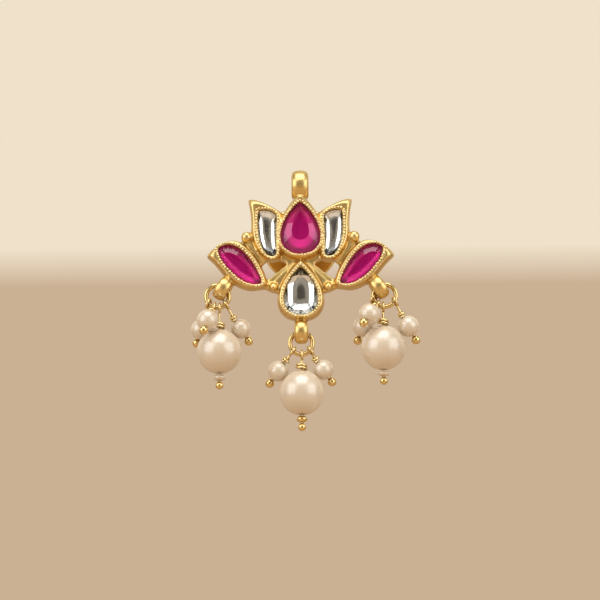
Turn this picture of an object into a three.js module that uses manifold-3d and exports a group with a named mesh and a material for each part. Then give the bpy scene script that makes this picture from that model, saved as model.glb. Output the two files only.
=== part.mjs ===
// A lotus drop earring: a cast gold-tone frame holds six foil-backed stones, a post and its nut
// are behind it, and three pearl drops hang below it on jump rings.
// Millimetres. X points right, Y to the back and Z up. The post leaves the flat back at the origin.
import * as THREE from "three";
import { mergeVertices } from "three/addons/utils/BufferGeometryUtils.js";
import Module from "manifold-3d";

const wasm = await Module();
wasm.setup();

// Frame: heights are measured forwards from the flat back.
const RIM_HEIGHT = 2.6;
const CENTRE_RIM_HEIGHT = 2.75;
const WEB_HEIGHT = 1.7;
const POCKET_FLOOR = 0.6;
const WALL_DRAFT = 0.3;
const WALL_INSET = 0.2;
const LIP_DEPTH = 0.45;
const LIP_UNDERCUT = 0.22;

// Stones: the girdle sits under the lip, and the table stands a little proud of the rim.
const STONE_SEAT = 0.12;
const GIRDLE_GROWTH = 0.1;
const CROWN_SPREAD = 1.6;
const CROWN_ANGLE = 30;
const TABLE_PROUD = 0.25;

// Loops: a fat band with an egg-shaped section, widest a part of the way out from the hole.
const LOOP_AXIS_HEIGHT = 1.1;
const LOOP_ROUNDNESS = 0.8;
const LOOP_WIDEST = 0.3;
const TOP_LOOP = { x: 0, z: 6.44, tilt: 0, hole: 0.9, outer: 2.07, width: 2.33 };
const DROP_LOOP = { hole: 0.62, outer: 1.73, width: 2.0 };
const NECK_RADIUS = 0.62;
const NECK_LENGTH = 1.6;

// Post and ear nut
const POST_RADIUS = 0.45;
const POST_LENGTH = 11;
const POST_PAD_RADIUS = 1.5;
const POST_PAD_HEIGHT = 0.35;
const NUT_START = 6.6;
const NUT_RADIUS = 5.2;
const NUT_THICKNESS = 0.7;
const NUT_BARREL_RADIUS = 1.8;
const NUT_BARREL_LENGTH = 3.2;
const NUT_BORE = 0.57;

// Rings, pins and pearls of the drops
const RING_RADIUS = 1.5;
const RING_WIRE = 0.3;
const PIN_WIRE = 0.16;
const EYE_RADIUS = 0.58;
const EYE_SAG = 0.06;
const DRILL_CLEARANCE = 0.1;
const MAIN_PEARL_RADIUS = 2.95;
const MAIN_BALL_RADIUS = 0.53;
const SMALL_BALL_RADIUS = 0.6;
const BEAD_GAP = 0.1;
const MAIN_WRAP = { turns: 2.2, radius: 0.64, pitch: 0.36 };
const SMALL_WRAP = { turns: 1.7, radius: 0.4, pitch: 0.36 };

// Outlines are drawn in X and Z as seen from the front: a wall's outside, and the window that shows a stone.
const CENTRE_WALL = { top: 5.3, bottom: -3.6, halfWidth: 3.13 };
const CENTRE_WINDOW = { top: 3.87, bottom: -2.88, halfWidth: 2.51 };
const LOWER_WALL = { top: -3.71, bottom: -11.7, halfWidth: 3.03 };
const LOWER_WINDOW = { top: -4.86, bottom: -11.06, halfWidth: 2.15 };

// A pear's half-width grows from the point and closes in a round end, as powers of the way down it.
const POINT_POWER = 0.9;
const ROUND_POWER = 0.45;
const OUTLINE_STEPS = 11;

// The others are cubic spans, each with two handles and an end, drawn for the right side.
const PETAL_WALL = {
  start: [6.77, 4.24],
  spans: [
    [[5.2, 3.9], [3.4, 3.2], [2.4, 2.5]],
    [[2.5, 0.6], [2.5, -1.4], [2.4, -3.2]],
    [[2.8, -3.6], [3.5, -3.75], [4.0, -3.72]],
    [[5.3, -3.6], [6.5, -1.6], [6.47, 0.35]],
    [[6.35, 1.6], [6.6, 3.2], [6.77, 4.24]],
  ],
};
const PETAL_WINDOW = {
  start: [5.77, 3.26],
  spans: [
    [[4.8, 3.35], [3.6, 3.1], [3.2, 2.35]],
    [[3.2, 0.8], [3.5, -0.8], [3.26, -2.5]],
    [[3.2, -2.95], [3.4, -3.22], [3.73, -3.22]],
    [[5.7, -3.2], [6.1, 0.6], [5.77, 3.26]],
  ],
};
const MARQUISE_WALL = {
  start: [12.4, -3.12],
  spans: [
    [[11.5, -1.9], [10.2, -1.05], [8.8, -1.08]],
    [[7.3, -1.1], [4.9, -4.2], [4.47, -6.82]],
    [[4.45, -7.5], [5.2, -7.4], [5.87, -7.5]],
    [[7.3, -7.85], [9.0, -6.8], [10.0, -5.67]],
    [[10.7, -4.9], [11.2, -4.0], [12.4, -3.12]],
  ],
};
const MARQUISE_WINDOW = {
  start: [10.87, -2.35],
  spans: [
    [[9.6, -1.0], [6.93, -2.08], [5.23, -6.86]],
    [[7.47, -7.63], [10.53, -3.98], [10.87, -2.35]],
  ],
};

// Webs fill in between the bezels and leave an open triangle on each side.
const STRUT_WEB = [
  [0, -3], [2.6, -2.6], [2.9, -3.5], [1.95, -3.95], [1.8, -4.25], [4.25, -6.25],
  [4.8, -6.4], [5.1, -7.2], [3.8, -7.9], [2.8, -8], [0, -5.2],
];
const SHOULDER_WEB = [
  [7.9, -1.7], [7.5, -0.7], [6.6, -0.2], [5.9, -0.9], [4.9, -2.6], [4.6, -3.3], [5.2, -4.3], [5.8, -4.2],
];
const GRANULES = [
  { x: 7.13, z: -0.59, radius: 0.73 },
  { x: 3.63, z: -7.3, radius: 0.53 },
];

// A stone's table is its window drawn in towards a centre, along and across an axis turned from Z.
const STONE_CUTS = {
  centre: { centre: [0, -0.12], turn: 0, along: 0.64, across: 0.5, facets: 10 },
  lower: { centre: [0, -8.2], turn: 0, along: 0.58, across: 0.5, facets: 9 },
  petal: { centre: [4.5, 0.05], turn: 8, along: 0.68, across: 0.44, facets: 10 },
  marquise: { centre: [8.05, -4.6], turn: 51, along: 0.72, across: 0.48, facets: 10 },
};

// Drops: the loop that holds each and how far the ring's wire lies over its axis; the main pin's place
// on the ring and its lean to the front, which balances the drop; and its pearl below the ring's centre.
// Small pearls: the eye's angle on the ring, and the pearl's centre from the ring's centre.
const DROPS = [
  {
    name: "left", loop: { x: -10.27, z: -7.37, tilt: -35 }, lift: 0.2,
    pinAngle: 8, pinLean: 0.6, pearlDrop: 7.36,
    bead: { radius: 0.85, half: 0.45, material: "pearl" },
    small: [
      { eye: -22, x: -1.25, y: -1.95, z: -3.53, radius: 1.44 },
      { eye: -54, x: -2.31, y: 1.9, z: -4.11, radius: 1.33 },
      { eye: 43, x: 3.02, y: 1, z: -4.18, radius: 1.31 },
    ],
  },
  {
    name: "centre", loop: { x: 0, z: -13.23, tilt: 0 }, lift: -0.05,
    pinAngle: 0, pinLean: 2.6, pearlDrop: 6.63,
    bead: { radius: 0.72, half: 0.46, material: "gold" },
    small: [
      { eye: -48, x: -3.06, y: 1.05, z: -3.55, radius: 1.36 },
      { eye: 48, x: 2.88, y: 0.95, z: -3.42, radius: 1.33 },
    ],
  },
  {
    name: "right", loop: { x: 10.27, z: -7.37, tilt: 35 }, lift: 0.12,
    pinAngle: -10, pinLean: 0.65, pearlDrop: 7.01,
    bead: { radius: 0.8, half: 0.38, material: "pearl" },
    small: [
      { eye: -44, x: -2.09, y: -1.8, z: -2.8, radius: 1.43 },
      { eye: -75, x: -2.87, y: 1.75, z: -3.86, radius: 1.37 },
      { eye: 58, x: 3.1, y: 0.75, z: -4.02, radius: 1.4 },
    ],
  },
];

const MATERIALS = {
  gold: { color: 0xd6a548, metalness: 1, roughness: 0.25 },
  ruby: { color: 0xa3145e, metalness: 0, roughness: 0.06 },
  clear: { color: 0xdcdedb, metalness: 0.6, roughness: 0.05 },
  pearl: { color: 0xeddcc4, metalness: 0, roughness: 0.2 },
};

const radians = THREE.MathUtils.degToRad;

function solidOf(geometry) {
  const bare = geometry.index ? geometry.toNonIndexed() : geometry.clone();
  bare.deleteAttribute("normal");
  bare.deleteAttribute("uv");
  const merged = mergeVertices(bare, 1e-4);
  const vertProperties = merged.attributes.position.array;
  const triVerts = new Uint32Array(merged.index.array);
  return new wasm.Manifold(new wasm.Mesh({ numProp: 3, vertProperties, triVerts }));
}

function geometryOf(solid) {
  const mesh = solid.getMesh();
  const geometry = new THREE.BufferGeometry();
  geometry.setAttribute("position", new THREE.BufferAttribute(mesh.vertProperties, 3));
  geometry.setIndex(new THREE.BufferAttribute(mesh.triVerts, 1));
  geometry.computeVertexNormals();
  return geometry;
}

const joined = (geometries) => geometries.map(solidOf).reduce((whole, next) => whole.add(next));

function piece(name, geometry, material) {
  const mesh = new THREE.Mesh(geometry, new THREE.MeshStandardMaterial(MATERIALS[material]));
  mesh.name = name;
  return mesh;
}

function pearOutline({ top, bottom, halfWidth }, sideSteps) {
  const widest = POINT_POWER / (POINT_POWER + ROUND_POWER);
  const right = [];
  for (let i = 1; i < sideSteps; i += 1) {
    const way = (1 - Math.cos((Math.PI * i) / sideSteps)) / 2;
    const wide = (way / widest) ** POINT_POWER * ((1 - way) / (1 - widest)) ** ROUND_POWER;
    right.push(new THREE.Vector2(halfWidth * wide, top + (bottom - top) * way));
  }
  const left = right.map((p) => new THREE.Vector2(-p.x, p.y));
  return new THREE.Shape([new THREE.Vector2(0, top), ...left, new THREE.Vector2(0, bottom), ...right.reverse()]);
}

function curvedOutline({ start, spans }, side, spanSteps) {
  const path = new THREE.Path();
  path.moveTo(side * start[0], start[1]);
  for (const [first, second, end] of spans) {
    path.bezierCurveTo(side * first[0], first[1], side * second[0], second[1], side * end[0], end[1]);
  }
  return new THREE.Shape(path.getPoints(spanSteps).slice(0, -1));
}

const polygon = (points, side) => new THREE.Shape(points.map(([x, z]) => new THREE.Vector2(side * x, z)));

function tableOutline(window, { centre, turn, along, across, facets }, side) {
  const middle = new THREE.Vector2(side * centre[0], centre[1]);
  const angle = radians(-side * turn);
  const origin = new THREE.Vector2();
  const drawnIn = (point) => {
    const local = point.clone().sub(middle).rotateAround(origin, -angle);
    return local.multiply(new THREE.Vector2(across, along)).rotateAround(origin, angle).add(middle);
  };
  return new THREE.Shape(window.getSpacedPoints(facets).slice(0, facets).map(drawnIn));
}

// Extrudes an outline forwards from a height over the back; local Z turns to face the front.
function forwards(shape, from, options) {
  const geometry = new THREE.ExtrudeGeometry(shape, options);
  geometry.computeBoundingBox();
  geometry.translate(0, 0, from - geometry.boundingBox.min.z);
  return geometry.rotateX(Math.PI / 2);
}

// A bezel's outer form, rounded towards its rim. Its mirror half behind the back is trimmed off later.
const wallForm = (shape, rim) => forwards(shape, -rim, {
  depth: 0.02,
  bevelThickness: rim - 0.01,
  bevelSize: WALL_DRAFT,
  bevelOffset: -WALL_INSET,
  bevelSegments: 2,
});

// The hollow of a bezel: the lip at its mouth and the seat at its floor are narrower than the girdle.
const pocketForm = (shape, rim) => forwards(shape, POCKET_FLOOR, {
  depth: rim + 0.02 - POCKET_FLOOR - 2 * LIP_DEPTH,
  bevelThickness: LIP_DEPTH,
  bevelSize: LIP_UNDERCUT,
  bevelSegments: 1,
});

// A cut stone: the girdle's outline, met by a crown of flat facets round a table.
function stoneGeometry(window, cut, side, rim) {
  const tableHeight = rim + TABLE_PROUD;
  const crownHeight = CROWN_SPREAD * Math.tan(radians(CROWN_ANGLE));
  const body = forwards(window, POCKET_FLOOR + STONE_SEAT, {
    depth: tableHeight,
    bevelThickness: LIP_DEPTH,
    bevelSize: 2 * GIRDLE_GROWTH,
    bevelOffset: -GIRDLE_GROWTH,
    bevelSegments: 1,
  });
  const crown = forwards(tableOutline(window, cut, side), tableHeight - 2 * crownHeight - 0.02, {
    depth: 0.02,
    bevelThickness: crownHeight,
    bevelSize: CROWN_SPREAD,
    bevelSegments: 1,
  });
  return geometryOf(solidOf(body).intersect(solidOf(crown)));
}

// A loop's band turns round its hole, which lies along X until the loop is tilted.
function loopForm({ x, z, tilt, hole, outer, width }) {
  const widest = hole + (outer - hole) * LOOP_WIDEST;
  const rounded = (value) => Math.sign(value) * Math.abs(value) ** LOOP_ROUNDNESS;
  const steps = 8;
  const profile = [];
  for (let i = 0; i <= steps; i += 1) {
    const turn = (2 * Math.PI * (i % steps)) / steps;
    const reach = rounded(Math.cos(turn));
    const radius = widest + reach * (reach > 0 ? outer - widest : widest - hole);
    profile.push(new THREE.Vector2(radius, (width / 2) * rounded(Math.sin(turn))));
  }
  const band = new THREE.LatheGeometry(profile, 14);
  band.rotateZ(Math.PI / 2);
  band.rotateY(-radians(tilt));
  return band.translate(x, -LOOP_AXIS_HEIGHT, z);
}

// A short neck runs from a loop's band up into the bezel that it hangs on.
function neckForm({ x, z, tilt, outer }) {
  const neck = new THREE.CylinderGeometry(NECK_RADIUS, NECK_RADIUS, NECK_LENGTH, 10);
  neck.rotateX(Math.PI / 2);
  neck.translate(0, 0, outer);
  neck.rotateY(-radians(tilt));
  return neck.translate(x, -LOOP_AXIS_HEIGHT, z);
}

function postForm() {
  const tip = POST_LENGTH - POST_RADIUS;
  const profile = [[0, -1], [POST_PAD_RADIUS, -1], [POST_PAD_RADIUS, POST_PAD_HEIGHT / 2]]
    .concat([[POST_RADIUS + 0.3, POST_PAD_HEIGHT], [POST_RADIUS, POST_PAD_HEIGHT + 0.3]])
    .concat([[POST_RADIUS, tip], [POST_RADIUS * 0.7, tip + POST_RADIUS * 0.7], [0, POST_LENGTH]])
    .map(([radius, along]) => new THREE.Vector2(radius, along));
  return new THREE.LatheGeometry(profile, 12);
}

function frameGeometry() {
  const walls = [
    wallForm(pearOutline(CENTRE_WALL, OUTLINE_STEPS), CENTRE_RIM_HEIGHT),
    wallForm(pearOutline(LOWER_WALL, OUTLINE_STEPS), RIM_HEIGHT),
  ];
  const pockets = [
    pocketForm(pearOutline(CENTRE_WINDOW, OUTLINE_STEPS), CENTRE_RIM_HEIGHT),
    pocketForm(pearOutline(LOWER_WINDOW, OUTLINE_STEPS), RIM_HEIGHT),
  ];
  for (const side of [-1, 1]) {
    walls.push(wallForm(curvedOutline(PETAL_WALL, side, 4), RIM_HEIGHT));
    walls.push(wallForm(curvedOutline(MARQUISE_WALL, side, 5), RIM_HEIGHT));
    walls.push(forwards(polygon(STRUT_WEB, side), 0, { depth: WEB_HEIGHT, bevelEnabled: false }));
    walls.push(forwards(polygon(SHOULDER_WEB, side), 0, { depth: WEB_HEIGHT, bevelEnabled: false }));
    pockets.push(pocketForm(curvedOutline(PETAL_WINDOW, side, 5), RIM_HEIGHT));
    pockets.push(pocketForm(curvedOutline(MARQUISE_WINDOW, side, 10), RIM_HEIGHT));
    for (const { x, z, radius } of GRANULES) {
      const dome = new THREE.SphereGeometry(radius, 10, 6);
      walls.push(dome.translate(side * x, -WEB_HEIGHT, z));
    }
  }
  const behind = new THREE.BoxGeometry(40, 10, 40).translate(0, 5, 0);
  const loops = DROPS.map(({ loop }) => ({ ...loop, ...DROP_LOOP }));
  return geometryOf(
    joined(walls)
      .subtract(solidOf(behind))
      .add(joined([loopForm(TOP_LOOP), ...loops.map(loopForm), ...loops.map(neckForm), postForm()]))
      .subtract(joined(pockets)),
  );
}

function nutGeometry() {
  const back = NUT_START + NUT_THICKNESS;
  const end = back + NUT_BARREL_LENGTH;
  const profile = [[NUT_BORE, NUT_START], [NUT_RADIUS - 0.25, NUT_START], [NUT_RADIUS, NUT_START + 0.3]]
    .concat([[NUT_RADIUS - 0.15, back], [NUT_BARREL_RADIUS + 0.3, back + 0.1], [NUT_BARREL_RADIUS, back + 0.5]])
    .concat([[NUT_BARREL_RADIUS, end - 0.4], [NUT_BARREL_RADIUS - 0.4, end], [NUT_BORE, end]])
    .concat([[NUT_BORE, NUT_START]])
    .map(([radius, along]) => new THREE.Vector2(radius, along));
  return geometryOf(solidOf(new THREE.LatheGeometry(profile, 20)));
}

// A drilled bead with its hole along Z
function beadGeometry(radius, half, sides, rings) {
  const drill = PIN_WIRE + DRILL_CLEARANCE;
  const open = Math.asin(drill / radius);
  const profile = [];
  for (let i = 0; i <= rings; i += 1) {
    const angle = THREE.MathUtils.lerp(open, Math.PI - open, i / rings);
    profile.push(new THREE.Vector2(radius * Math.sin(angle), -half * Math.cos(angle)));
  }
  profile.push(profile[0].clone());
  return geometryOf(solidOf(new THREE.LatheGeometry(profile, sides).rotateX(Math.PI / 2)));
}

// The wrap leaves the pin's stem, winds out to its radius within a quarter turn and goes on down.
class Wrap extends THREE.Curve {
  constructor({ turns, radius, pitch }, top) {
    super();
    Object.assign(this, { turns, radius, pitch, top });
  }

  getPoint(t, target = new THREE.Vector3()) {
    const turn = t * this.turns;
    const out = THREE.MathUtils.lerp(PIN_WIRE, this.radius, Math.min(1, turn * 4));
    const angle = 2 * Math.PI * turn;
    return target.set(out * Math.cos(angle), out * Math.sin(angle), this.top - this.pitch * turn);
  }
}

// A head pin hangs from the centre of its eye along -Z; the eye's hole lies along X.
function pinGeometry(length, wrap, wrapEnd, ballRadius) {
  const eye = new THREE.TorusGeometry(EYE_RADIUS, PIN_WIRE, 5, 10).rotateY(Math.PI / 2);
  const stemLength = length - EYE_RADIUS;
  const stem = new THREE.CylinderGeometry(PIN_WIRE, PIN_WIRE, stemLength, 6).rotateX(Math.PI / 2);
  stem.translate(0, 0, -EYE_RADIUS - stemLength / 2);
  const ball = new THREE.SphereGeometry(ballRadius, 10, 5).rotateX(Math.PI / 2).translate(0, 0, -length);
  const section = new THREE.Shape();
  section.absarc(0, 0, PIN_WIRE, 0, 2 * Math.PI);
  const coil = new THREE.ExtrudeGeometry(new THREE.Shape(section.getSpacedPoints(5).slice(0, 5)), {
    steps: Math.round(wrap.turns * 8),
    bevelEnabled: false,
    extrudePath: new Wrap(wrap, wrapEnd + wrap.pitch * wrap.turns),
  });
  return geometryOf(joined([eye, stem, ball, coil]));
}

const onRing = (angle) => new THREE.Vector3(Math.sin(angle), 0, -Math.cos(angle)).multiplyScalar(RING_RADIUS);

// Places a group with its -Z along the way to hang, and its X as near to the ring's wire as that allows.
function hang(eye, way) {
  const group = new THREE.Group();
  const wire = new THREE.Vector3(-eye.z, 0, eye.x).normalize();
  const up = way.clone().negate();
  const back = new THREE.Vector3().crossVectors(up, wire).normalize();
  const across = new THREE.Vector3().crossVectors(back, up);
  group.setRotationFromMatrix(new THREE.Matrix4().makeBasis(across, back, up));
  group.position.copy(eye).addScaledVector(way, EYE_SAG);
  return group;
}

function dropGroup({ name, loop, lift, pinAngle, pinLean, pearlDrop, bead, small }) {
  const drop = new THREE.Group();
  const tilt = radians(loop.tilt);
  const held = new THREE.Vector3(loop.x, -LOOP_AXIS_HEIGHT, loop.z);
  drop.position.copy(held.addScaledVector(onRing(tilt), 1 - lift / RING_RADIUS));
  const ring = new THREE.TorusGeometry(RING_RADIUS, RING_WIRE, 6, 16).rotateX(Math.PI / 2);
  drop.add(piece(`${name}_ring`, ring, "gold"));

  const eye = onRing(radians(pinAngle));
  const lean = radians(pinLean);
  const main = hang(eye, new THREE.Vector3(0, -Math.sin(lean), -Math.cos(lean)));
  const pearlAt = pearlDrop + eye.z - EYE_SAG;
  const beadAt = pearlAt + MAIN_PEARL_RADIUS + BEAD_GAP + bead.half;
  const ballAt = beadAt + bead.half + MAIN_BALL_RADIUS + BEAD_GAP / 2;
  const wrapEnd = -pearlAt + MAIN_PEARL_RADIUS + PIN_WIRE + 0.04;
  main.add(piece(`${name}_pin`, pinGeometry(ballAt, MAIN_WRAP, wrapEnd, MAIN_BALL_RADIUS), "gold"));
  const mainPearl = piece(`${name}_pearl`, beadGeometry(MAIN_PEARL_RADIUS, MAIN_PEARL_RADIUS, 16, 11), "pearl");
  mainPearl.position.z = -pearlAt;
  const endBead = piece(`${name}_end_bead`, beadGeometry(bead.radius, bead.half, 10, 6), bead.material);
  endBead.position.z = -beadAt;
  main.add(mainPearl, endBead);
  drop.add(main);

  small.forEach(({ eye: eyeAngle, x, y, z, radius }, index) => {
    const wireAt = onRing(radians(eyeAngle));
    const way = new THREE.Vector3(x, y, z).sub(wireAt);
    const at = way.length() - EYE_SAG;
    const charm = hang(wireAt, way.normalize());
    const ballDistance = at + radius + SMALL_BALL_RADIUS + BEAD_GAP / 2;
    const wrapBottom = -at + radius + PIN_WIRE + BEAD_GAP;
    const pin = pinGeometry(ballDistance, SMALL_WRAP, wrapBottom, SMALL_BALL_RADIUS);
    charm.add(piece(`${name}_small_pin_${index + 1}`, pin, "gold"));
    const smallPearl = piece(`${name}_small_pearl_${index + 1}`, beadGeometry(radius, radius, 12, 7), "pearl");
    smallPearl.position.z = -at;
    charm.add(smallPearl);
    drop.add(charm);
  });
  return drop;
}

const earring = new THREE.Group();
earring.add(piece("lotus_frame", frameGeometry(), "gold"));
earring.add(piece("ear_nut", nutGeometry(), "gold"));

const centreWindow = pearOutline(CENTRE_WINDOW, OUTLINE_STEPS);
const lowerWindow = pearOutline(LOWER_WINDOW, OUTLINE_STEPS);
earring.add(piece("ruby_pear", stoneGeometry(centreWindow, STONE_CUTS.centre, 1, CENTRE_RIM_HEIGHT), "ruby"));
earring.add(piece("clear_pear", stoneGeometry(lowerWindow, STONE_CUTS.lower, 1, RIM_HEIGHT), "clear"));
for (const [sideName, side] of [["left", -1], ["right", 1]]) {
  const petal = stoneGeometry(curvedOutline(PETAL_WINDOW, side, 5), STONE_CUTS.petal, side, RIM_HEIGHT);
  earring.add(piece(`clear_petal_${sideName}`, petal, "clear"));
  const marquise = stoneGeometry(curvedOutline(MARQUISE_WINDOW, side, 10), STONE_CUTS.marquise, side, RIM_HEIGHT);
  earring.add(piece(`ruby_marquise_${sideName}`, marquise, "ruby"));
}
for (const drop of DROPS) {
  earring.add(dropGroup(drop));
}

export default earring;
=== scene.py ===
"""Looks for a lotus drop earring: its gold-tone casting, foil-backed stones, wire and pearls."""
import math
import random

import bmesh
import bpy
from bpy.props import FloatProperty, FloatVectorProperty, PointerProperty
from mathutils import Matrix, Vector, kdtree


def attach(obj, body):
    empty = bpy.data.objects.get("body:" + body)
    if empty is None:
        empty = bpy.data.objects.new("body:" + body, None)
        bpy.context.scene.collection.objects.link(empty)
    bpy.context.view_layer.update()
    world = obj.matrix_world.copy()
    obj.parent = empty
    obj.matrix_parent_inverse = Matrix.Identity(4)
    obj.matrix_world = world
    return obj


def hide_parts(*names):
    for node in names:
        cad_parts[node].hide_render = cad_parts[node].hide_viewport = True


bl_info = {
    "name": "Lotus drop earring",
    "version": (1, 0, 0),
    "blender": (4, 5, 0),
    "location": "3D View > Sidebar > Earring",
    "description": "Dresses the packed earring with its casting, stones, wire and pearls",
    "category": "Object",
}

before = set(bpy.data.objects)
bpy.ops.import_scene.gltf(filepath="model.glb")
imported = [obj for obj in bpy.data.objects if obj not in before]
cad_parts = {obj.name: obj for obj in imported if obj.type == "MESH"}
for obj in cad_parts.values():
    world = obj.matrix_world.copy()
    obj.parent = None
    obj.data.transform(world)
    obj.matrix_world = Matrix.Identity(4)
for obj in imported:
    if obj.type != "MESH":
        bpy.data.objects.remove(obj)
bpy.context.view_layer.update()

# Pieces are modelled in millimetres, in the frame of the solids, and brought to metres when they are done.
MM = 0.001

# Outlines in X and Z as seen from the front: a bezel's wall, and the window that shows its stone.
CENTRE_WALL = {"top": 5.3, "bottom": -3.6, "half_width": 3.13}
CENTRE_WINDOW = {"top": 3.87, "bottom": -2.88, "half_width": 2.51}
LOWER_WALL = {"top": -3.71, "bottom": -11.7, "half_width": 3.03}
LOWER_WINDOW = {"top": -4.86, "bottom": -11.06, "half_width": 2.15}
PETAL_WALL = {
    "start": (6.88, 4.45),
    "spans": [
        ((5.9, 4.65), (4.2, 3.8), (2.4, 2.6)),
        ((2.7, 0.9), (2.85, -1.4), (2.6, -3.2)),
        ((2.8, -3.6), (3.5, -3.75), (4.0, -3.72)),
        ((5.3, -3.6), (6.5, -1.6), (6.47, 0.35)),
        ((6.35, 1.6), (6.6, 3.2), (6.88, 4.45)),
    ],
}
PETAL_WINDOW = {
    "start": (5.45, 2.8),
    "spans": [
        ((4.7, 2.95), (3.65, 2.8), (3.25, 2.1)),
        ((3.2, 0.8), (3.5, -0.8), (3.26, -2.5)),
        ((3.2, -2.95), (3.4, -3.22), (3.73, -3.22)),
        ((5.4, -3.2), (5.75, 0.4), (5.45, 2.8)),
    ],
}
MARQUISE_WALL = {
    "start": (12.4, -3.12),
    "spans": [
        ((11.5, -1.9), (10.2, -1.05), (8.8, -1.08)),
        ((7.3, -1.1), (4.9, -4.2), (4.47, -6.82)),
        ((4.45, -7.5), (5.2, -7.4), (5.87, -7.5)),
        ((7.3, -7.85), (9.0, -6.8), (10.0, -5.67)),
        ((10.7, -4.9), (11.2, -4.0), (12.4, -3.12)),
    ],
}
MARQUISE_WINDOW = {
    "start": (10.87, -2.35),
    "spans": [
        ((9.6, -1.0), (6.93, -2.08), (5.23, -6.86)),
        ((7.47, -7.63), (10.53, -3.98), (10.87, -2.35)),
    ],
}
# Stones: the table's middle, its axis turned from Z, its share of the window along and across that axis, and
# the width of the facets round it
TABLES = {
    "centre": ((0, 0.735), 0, 0.563, 0.46, 1.36), "lower": ((0, -8.05), 0, 0.548, 0.51, 1.05),
    "petal": ((4.4, -0.1), 6, 0.68, 0.5, 0.6), "marquise": ((8.05, -4.6), 51, 0.72, 0.46, 0.84),
}
# The lower pear's table has a round top and a flat foot: its right half
LOWER_TABLE = [
    (0, -6.25), (0.5, -6.4), (0.85, -6.8), (1.03, -7.4), (1.1, -8.2), (1.1, -9.0),
    (1.02, -9.5), (0.75, -9.76), (0, -9.85),
]
STRUT_WEB = [
    (0, -3.1), (1.6, -3.1), (2.9, -3.0), (2.9, -3.5), (1.95, -3.95), (1.8, -4.25), (4.25, -6.25),
    (4.8, -6.4), (5.1, -7.2), (3.8, -7.9), (2.9, -8), (2.4, -6.7), (1.0, -5.0), (0, -4.3),
]
SHOULDER_WEB = [
    (7.9, -1.7), (7.5, -0.7), (6.6, -0.2), (6.2, -0.9), (5.4, -2.6), (4.7, -3.45), (5.2, -4.3), (5.8, -4.2),
]
WEB_HEIGHT = 1.6
GRANULE_HEIGHT = 1.7
# Granules: x, z and radius
GRANULES = [(7.13, -0.59, 0.73), (3.63, -7.3, 0.53)]

# A bezel's section, from the back over the rim and down into its pocket: the share of the way from wall to
# window, the distance added to it, and the height. A negative height counts from the rim, any other from
# the back.
BEZEL_SECTION = [
    (0, 0.06, 0.0), (0, -0.1, 0.18), (0, -0.1, -1.5), (0, -0.05, -0.9), (0.08, 0, -0.48), (0.2, 0, -0.18),
    (0.34, 0, -0.03), (0.48, 0, -0.01), (0.64, 0, -0.07), (0.82, 0, -0.18), (0.94, 0, -0.3),
    (1, 0, -0.5), (1, -0.2, -0.85), (1, -0.2, 0.62),
]
# Rounded bars on the webs: their line in x and z, and radius; each runs 1.08 mm over the back
WEB_BARS = [
    ([(0.6, -4.0), (1.1, -4.5), (1.9, -5.3), (2.85, -6.2), (3.6, -7.1)], 0.66),
    ([(4.6, -3.9), (5.5, -3.0), (6.6, -1.7), (7.1, -0.7)], 0.76),
    ([(3.4, -7.3), (4.4, -7.0), (5.2, -6.6)], 0.7),
    ([(0, -3.5), (0.6, -3.55), (1.0, -3.8)], 0.62),
]
BAR_HEIGHT = 1.08

# A pear outline's half-width grows from the point by the first power and closes at the foot by the second
PEAR_POINT = 0.9
PEAR_FOOT = 0.45
# Middles that the outlines are sampled round
MIDDLES = {"centre": (0, -0.3), "lower": (0, -8.4), "petal": (4.5, 0.1), "marquise": (8.05, -4.5)}
# The stone's edge runs under the rim and is this thick; the foil dips under the table's middle
GIRDLE_OVERLAP = 0.1
GIRDLE_THICKNESS = 0.12
FOIL_DIP = {"share": 0.4, "depth": 1.2}
# Milgrain: how far it runs outside a window, how deep it sits in the rim, and how uneven the hand was
MILGRAIN_LINE = 0.32
MILGRAIN_SINK = 0.1
MILGRAIN_UNEVEN = 0.05
# Forms this near to the back are ground flat with it
GROUND_BACK = 0.07
# Turned profiles: radius, and distance behind the flat back
POST_PROFILE = [
    (1.5, -0.4), (1.5, 0.12), (1.35, 0.25), (0.8, 0.36), (0.5, 0.6), (0.45, 0.8), (0.45, 10.5), (0.4, 10.75),
    (0.26, 10.92), (0.06, 11),
]
NUT_PROFILE = [
    (0.57, 6.62), (0.7, 6.6), (4.7, 6.6), (4.95, 6.64), (5.13, 6.75), (5.2, 6.92), (5.17, 7.1), (5.05, 7.25),
    (4.85, 7.3), (4.6, 7.26), (4.3, 7.2), (2.5, 7.25), (2.15, 7.36), (1.9, 7.6), (1.8, 7.9),
    (1.8, 8.6), (1.7, 8.68), (1.7, 8.82), (1.8, 8.9), (1.8, 9.6), (1.7, 9.68), (1.7, 9.82), (1.8, 9.9),
    (1.78, 10.1), (1.65, 10.35), (1.4, 10.5), (0.75, 10.5), (0.57, 10.42),
]

LOOP_AXIS_HEIGHT = 1.1
TOP_LOOP = {"x": 0, "z": 6.44, "tilt": 0, "hole": 0.9, "outer": 2.07, "width": 2.33}
DROP_LOOP = {"hole": 0.62, "outer": 1.66, "width": 1.86}
EYE_RADIUS = 0.58
EYE_SAG = 0.06
RING_RADIUS = 1.5
MAIN_PEARL = 2.95
MAIN_BALL = 0.53
SMALL_BALL = 0.6
BEAD_GAP = 0.1
EYE_START = 40
EYE_TURN = 310
EYE_SHIFT = 0.1
STEM_TOP = (-1.2, -1.0)
STEM_BEND = [(0, -0.9), (0, -0.66), (0.24, -0.55)]
MAIN_WRAP = {"turns": 2.2, "radius": 0.64, "pitch": 0.36}
SMALL_WRAP = {"turns": 1.7, "radius": 0.4, "pitch": 0.36}

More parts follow.
